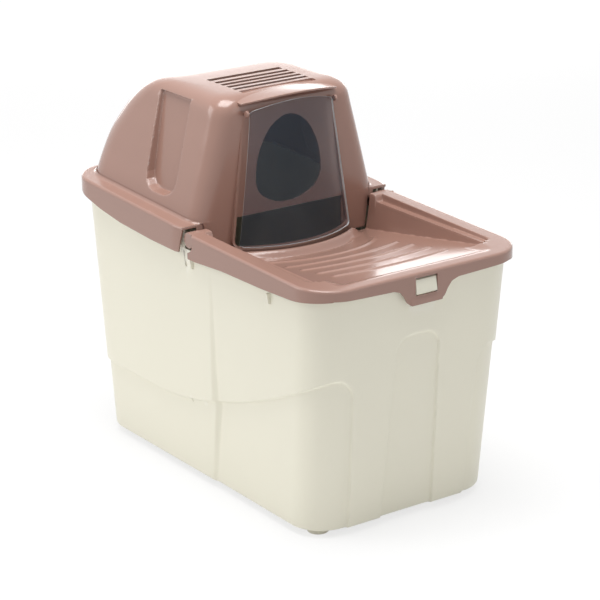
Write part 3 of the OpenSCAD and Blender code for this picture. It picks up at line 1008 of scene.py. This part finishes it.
def build_flap_frame():
    """The bay that the flap closes: cheeks, floor and the bosses of its pivots."""
    bm = new_grid(150, 10)
    path = flap_path(0.8)

    def place(uv):
        w = np.abs(2 * uv[:, 0] - 1)
        x, z = along(path, w)
        x = x * np.where(uv[:, 0] < 0.5, -1, 1)
        front = flap_front(x, z) + size("frame_back")
        back = np.minimum(4, front + np.interp(z, [316, 330], [5, 60]))
        y = back + (front - back) * uv[:, 1]
        return np.stack([x, y, z], axis=1)

    settle(bm, place)
    bm.normal_update()
    # the sheet faces the flap, so its wall grows away from it
    mid = [f for f in bm.faces if abs(f.calc_center_median().x) < 0.05]
    if mid and mid[0].normal.z < 0:
        bmesh.ops.reverse_faces(bm, faces=bm.faces)
    add_object("flap_frame", bm, material("rose"), "hood_body",
               wall=3.5, edge=0.7, angle=60)
    bm = bmesh.new()
    for side in (-1, 1):
        add_rod(bm, side * 67.9, side * 71.3, PIVOT_Y, PIVOT_Z, 4.2, 40)
    add_object("flap_bosses", bm, material("rose"), "hood_body", edge=0.6)


def build_visor():
    """Brow over the flap, which runs back into the roof."""
    bm = new_grid(76, 10)
    half = 76

    def place(uv):
        x = (uv[:, 0] - 0.5) * 2 * half
        bow = (x / half) ** 2
        z0, z1 = 510.2 - 9 * bow, 508.4 - 3 * bow
        front = flap_front(x, z0, FLAP_R + 2)
        t = uv[:, 1]
        y = front + (34 - 6 * bow - front) * t
        z = z0 + (z1 - z0) * t * t * (3 - 2 * t)
        return np.stack([x, y, z], axis=1)

    settle(bm, place)
    add_object("hood_visor", bm, material("rose"), "hood_body",
               wall=2.5, edge=0.5, angle=50)


# ----------------------------------------------------------------------- flap


def build_flap():
    """Smoked swing flap with its pivot pins."""
    bm = new_grid(90, 90)

    def place(uv):
        p, q = 2 * uv[:, 0] - 1, uv[:, 1]
        z0 = FLAP_LOW + 186 * q
        hw = np.interp(z0, [315, 320, 487, 502], [89, 88.4, 67, 66])
        low = np.clip(320 - z0, 0, 5)
        hw = hw - (5 - np.sqrt(25 - low * low))
        x = p * hw
        top = np.where(np.abs(x) < 62, 491 + 10 * (1 - (x / 62) ** 2),
                       487 + (67 - np.abs(x)) * 0.8)
        z = FLAP_LOW + (top - FLAP_LOW) * q
        return np.stack([x, flap_front(x, z), z], axis=1)

    settle(bm, place)
    face_forward(bm)
    obj = add_object("flap_shell", bm, material("smoke"), "flap_body",
                     ["flap"], wall=size("flap_wall"), edge=0.4, angle=50)
    obj.data.materials.append(material("edge"))
    obj.modifiers["Wall"].material_offset_rim = 1
    bm = bmesh.new()
    for side in (-1, 1):
        add_rod(bm, side * 64.5, side * 70.5, PIVOT_Y, PIVOT_Z, 2.5, 24)
    add_object("flap_pins", bm, material("smoke"), "flap_body", edge=0.3)


# --------------------------------------------------------------- small pieces


def rounded_copy(name, node, kind, body, edge):
    """A merged copy of a solid, its flat faces joined and its edges rounded."""
    bm = bmesh.new()
    bm.from_mesh(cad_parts[node].data)
    bmesh.ops.remove_doubles(bm, verts=bm.verts, dist=2e-6)
    bmesh.ops.dissolve_limit(
        bm, angle_limit=math.radians(0.5), verts=bm.verts, edges=bm.edges
    )
    sharp = [e for e in bm.edges if e.calc_face_angle(0.0) > math.radians(30)]
    bmesh.ops.bevel(
        bm, geom=sharp, offset=edge * MM, offset_type="OFFSET", segments=3,
        profile=0.5, affect="EDGES", material=-1, clamp_overlap=True,
    )
    add_object(name, bm, material(kind), body, [node], edge=0)


def build_latch():
    rounded_copy("latch_tongue", "latch", "ivory", "latch_body", 1.1)


def build_feet():
    for node in ("foot_fl", "foot_fr", "foot_rl", "foot_rr"):
        rounded_copy(node + "_pad", node, "ivory", "bin_body", 1.6)


def build_tray():
    rounded_copy("filter_holder", "filter_tray", "tray", "hood_body", 0.6)


def build_filter():
    """Felt pad with a pressed rim and a slightly uneven face."""
    bm = bmesh.new()
    bmesh.ops.create_grid(bm, x_segments=66, y_segments=46, size=0.5)
    for v in bm.verts:
        x, y = v.co.x * 131, 73 + v.co.y * 92
        puff = 0.5 * math.sin(x * 0.9) * math.sin(y * 0.8)
        rim = min(65.5 - abs(x), 46 - abs(y - 73))
        z = 502.2 + puff - 1.6 * math.exp(-rim / 1.5)
        v.co = Vector((x, y, z)) * MM
    add_object("filter_pad", bm, material("felt"), "hood_body",
               ["filter"], wall=size("pad_height"), edge=0)


# ---------------------------------------------------------------------- stage

# name, place, aim, size, watts
LAMPS = (
    ("key", (-2.0, 1.3, 1.4), (0, 0.1, 0.25), (1.3, 1.3), 16),
    ("top", (-0.2, -0.1, 2.6), (0, 0, 0.3), (1.6, 1.5), 63),
    ("fill", (1.4, -2.8, 1.3), (0, 0, 0.3), (1.4, 1.4), 3),
    ("back", (1.75, 2.45, 0.6), (0, 0, 0.3), (3.2, 0.9), 20),
)
FLOOR_WHITE = 0.72  # share of plain white in the floor where it is seen
WORLD_LIGHT = 0.4
AZIMUTH, ELEVATION, ROLL = -35.48, 18.34, -0.26
LENS, DISTANCE, MIDDLE = 144.0, 3.16, (0, 0, 0.28)
AIM_RIGHT, AIM_DOWN = 0.0122, 0.0546


def backdrop_rays(nodes, links):
    """1 for the rays that see the white background, 0 for those that light."""
    path = nodes.new("ShaderNodeLightPath")
    seen = path.outputs["Is Camera Ray"]
    for ray in ("Is Glossy Ray", "Is Transmission Ray"):
        either = nodes.new("ShaderNodeMath")
        either.operation = "MAXIMUM"
        links.new(seen, either.inputs[0])
        links.new(path.outputs[ray], either.inputs[1])
        seen = either.outputs[0]
    return seen


def build_floor():
    bm = bmesh.new()
    bmesh.ops.create_grid(bm, x_segments=2, y_segments=2, size=9.0)
    mesh = bpy.data.meshes.new("floor")
    bm.to_mesh(mesh)
    bm.free()
    floor = bpy.data.objects.new("floor", mesh)
    bpy.context.scene.collection.objects.link(floor)
    mat = bpy.data.materials.new("floor")
    mat.use_nodes = True
    nodes, links = mat.node_tree.nodes, mat.node_tree.links
    shader = nodes["Principled BSDF"]
    shader.inputs["Base Color"].default_value = (0.9, 0.9, 0.9, 1)
    shader.inputs["Roughness"].default_value = 0.9
    shader.inputs["Specular IOR Level"].default_value = 0.1
    white = nodes.new("ShaderNodeEmission")
    share = nodes.new("ShaderNodeMath")
    share.operation = "MULTIPLY"
    share.inputs[1].default_value = FLOOR_WHITE
    blend = nodes.new("ShaderNodeMixShader")
    links.new(backdrop_rays(nodes, links), share.inputs[0])
    links.new(share.outputs[0], blend.inputs["Fac"])
    links.new(shader.outputs[0], blend.inputs[1])
    links.new(white.outputs[0], blend.inputs[2])
    links.new(blend.outputs[0], nodes["Material Output"].inputs["Surface"])
    mesh.materials.append(mat)


def build_world():
    world = bpy.data.worlds.new("studio")
    bpy.context.scene.world = world
    world.use_nodes = True
    nodes, links = world.node_tree.nodes, world.node_tree.links
    nodes["Background"].inputs["Color"].default_value = (1, 1, 1, 1)
    level = nodes.new("ShaderNodeMapRange")
    level.inputs["To Min"].default_value = WORLD_LIGHT
    level.inputs["To Max"].default_value = 1.0
    links.new(backdrop_rays(nodes, links), level.inputs["Value"])
    links.new(level.outputs["Result"], nodes["Background"].inputs["Strength"])


def build_lamp(name, place, target, size, watts):
    data = bpy.data.lights.new(name, "AREA")
    data.shape = "RECTANGLE"
    data.size, data.size_y = size
    data.energy = watts
    obj = bpy.data.objects.new(name, data)
    obj.location = place
    obj.rotation_mode = "QUATERNION"
    way = Vector(target) - Vector(place)
    obj.rotation_quaternion = way.to_track_quat("-Z", "Y")
    obj.visible_camera = False
    bpy.context.scene.collection.objects.link(obj)


def build_camera():
    """The camera that was fitted to the photograph."""
    scene = bpy.context.scene
    data = bpy.data.cameras.new("camera")
    data.lens, data.sensor_width = LENS, 36.0
    data.clip_start, data.clip_end = 0.05, 40
    cam = bpy.data.objects.new("camera", data)
    a, e, roll = map(math.radians, (AZIMUTH, ELEVATION, ROLL))
    back = Vector((math.sin(a) * math.cos(e), -math.cos(a) * math.cos(e), math.sin(e)))
    right = Vector((math.cos(a), math.sin(a), 0))
    up = back.cross(right)
    target = Vector(MIDDLE)
    place = target + back * DISTANCE
    aim = target + right * AIM_RIGHT - up * AIM_DOWN
    view = (aim - place).to_track_quat("-Z", "Y").to_matrix().to_4x4()
    cam.matrix_world = Matrix.Translation(place) @ view @ Matrix.Rotation(roll, 4, "Z")
    scene.collection.objects.link(cam)
    scene.camera = cam


def build_stage():
    """Floor, white surroundings, lamps and camera."""
    build_floor()
    build_world()
    for lamp in LAMPS:
        build_lamp(*lamp)
    bpy.context.scene.view_settings.view_transform = "Standard"
    build_camera()


# --------------------------------------------------------------------- add-on


def length(name, text, value):
    return bpy.props.FloatProperty(
        name=name, description=text, default=value, min=0.0, max=0.02,
        unit="LENGTH", precision=4,
    )


def swatch(name, text, value):
    return bpy.props.FloatVectorProperty(
        name=name, description=text, default=value, subtype="COLOR", size=3, min=0, max=1
    )


class LitterSizes(bpy.types.PropertyGroup):
    """Sizes of the visible detail."""

    bin_wall: length("Bin Wall", "Thickness of the bin's wall", 0.003)
    lid_wall: length("Lid Wall", "Thickness of the front lid's wall", 0.0027)
    hood_wall: length("Hood Wall", "Thickness of the hood's wall", 0.0028)
    flap_wall: length("Flap", "Thickness of the swing flap", 0.0025)
    pad_height: length("Filter Pad", "Thickness of the filter pad", 0.006)
    step_depth: length("Step Depth", "Depth of the bin's stepped panels", 0.0035)
    rib_height: length("Rib Height", "Height of the ribs on the ramp", 0.002)
    frame_back: length("Frame Set-back", "How far the frame lies behind the flap", 0.0075)


class LitterColors(bpy.types.PropertyGroup):
    """Colours of the finishes, linear."""

    rose: swatch("Rose", "Colour of the lids and the hood", (0.335, 0.193, 0.152))
    ivory: swatch("Ivory", "Colour of the bin", (0.81, 0.78, 0.65))
    smoke: swatch("Smoke", "Colour of the swing flap", (0.04, 0.065, 0.1))
    tray: swatch("Tray", "Colour of the filter tray", (0.06, 0.05, 0.05))
    felt: swatch("Felt", "Colour of the filter pad", (0.025, 0.022, 0.022))


class LITTER_OT_bin(bpy.types.Operator):
    """Build the bin with its stepped panels, notches and gussets"""

    bl_idname = "litter.bin"
    bl_label = "Bin"

    def execute(self, context):
        build_bin()
        return {"FINISHED"}


class LITTER_OT_feet(bpy.types.Operator):
    """Build the four feet, as rounded copies of their solids"""

    bl_idname = "litter.feet"
    bl_label = "Feet"

    def execute(self, context):
        build_feet()
        return {"FINISHED"}


class LITTER_OT_latch(bpy.types.Operator):
    """Build the latch tongue, as a rounded copy of its solid"""

    bl_idname = "litter.latch"
    bl_label = "Latch"

    def execute(self, context):
        build_latch()
        return {"FINISHED"}


class LITTER_OT_front_lid(bpy.types.Operator):
    """Build the front lid with its ribbed ramp, tab and hinge knuckles"""

    bl_idname = "litter.front_lid"
    bl_label = "Front Lid"

    def execute(self, context):
        build_front_lid()
        return {"FINISHED"}


class LITTER_OT_hood(bpy.types.Operator):
    """Build the hood with its flange, entrance, roof slots and flap bay"""

    bl_idname = "litter.hood"
    bl_label = "Hood"

    def execute(self, context):
        build_hood()
        return {"FINISHED"}


class LITTER_OT_flap(bpy.types.Operator):
    """Build the smoked swing flap and its pins"""

    bl_idname = "litter.flap"
    bl_label = "Flap"

    def execute(self, context):
        build_flap()
        return {"FINISHED"}


class LITTER_OT_tray(bpy.types.Operator):
    """Build the filter's holder, as a rounded copy of its solid"""

    bl_idname = "litter.tray"
    bl_label = "Filter Tray"

    def execute(self, context):
        build_tray()
        return {"FINISHED"}


class LITTER_OT_filter(bpy.types.Operator):
    """Build the felt filter pad"""

    bl_idname = "litter.filter"
    bl_label = "Filter"

    def execute(self, context):
        build_filter()
        return {"FINISHED"}


class LITTER_OT_stage(bpy.types.Operator):
    """Build the floor, the surroundings, the lamps and the camera"""

    bl_idname = "litter.stage"
    bl_label = "Stage"

    def execute(self, context):
        build_stage()
        return {"FINISHED"}


OPERATORS = (
    LITTER_OT_bin,
    LITTER_OT_feet,
    LITTER_OT_latch,
    LITTER_OT_front_lid,
    LITTER_OT_hood,
    LITTER_OT_flap,
    LITTER_OT_tray,
    LITTER_OT_filter,
    LITTER_OT_stage,
)


class LITTER_PT_panel(bpy.types.Panel):
    """Lists the sizes, the colours and the pieces."""

    bl_idname = "LITTER_PT_panel"
    bl_label = "Litter Box"
    bl_space_type = "VIEW_3D"
    bl_region_type = "UI"
    bl_category = "Litter Box"

    def draw(self, context):
        for name in LitterSizes.__annotations__:
            self.layout.prop(context.scene.litter_sizes, name)
        for name in LitterColors.__annotations__:
            self.layout.prop(context.scene.litter_colors, name)
        for op in OPERATORS:
            self.layout.operator(op.bl_idname)


CLASSES = (LitterSizes, LitterColors, *OPERATORS, LITTER_PT_panel)


def register():
    for c in CLASSES:
        bpy.utils.register_class(c)
    bpy.types.Scene.litter_sizes = bpy.props.PointerProperty(type=LitterSizes)
    bpy.types.Scene.litter_colors = bpy.props.PointerProperty(type=LitterColors)


def unregister():
    del bpy.types.Scene.litter_colors
    del bpy.types.Scene.litter_sizes
    for c in reversed(CLASSES):
        bpy.utils.unregister_class(c)


def main():
    register()
    bpy.ops.litter.bin()
    bpy.ops.litter.feet()
    bpy.ops.litter.latch()
    bpy.ops.litter.front_lid()
    bpy.ops.litter.hood()
    bpy.ops.litter.flap()
    bpy.ops.litter.tray()
    bpy.ops.litter.filter()
    bpy.ops.litter.stage()


if __name__ == "__main__":
    main()
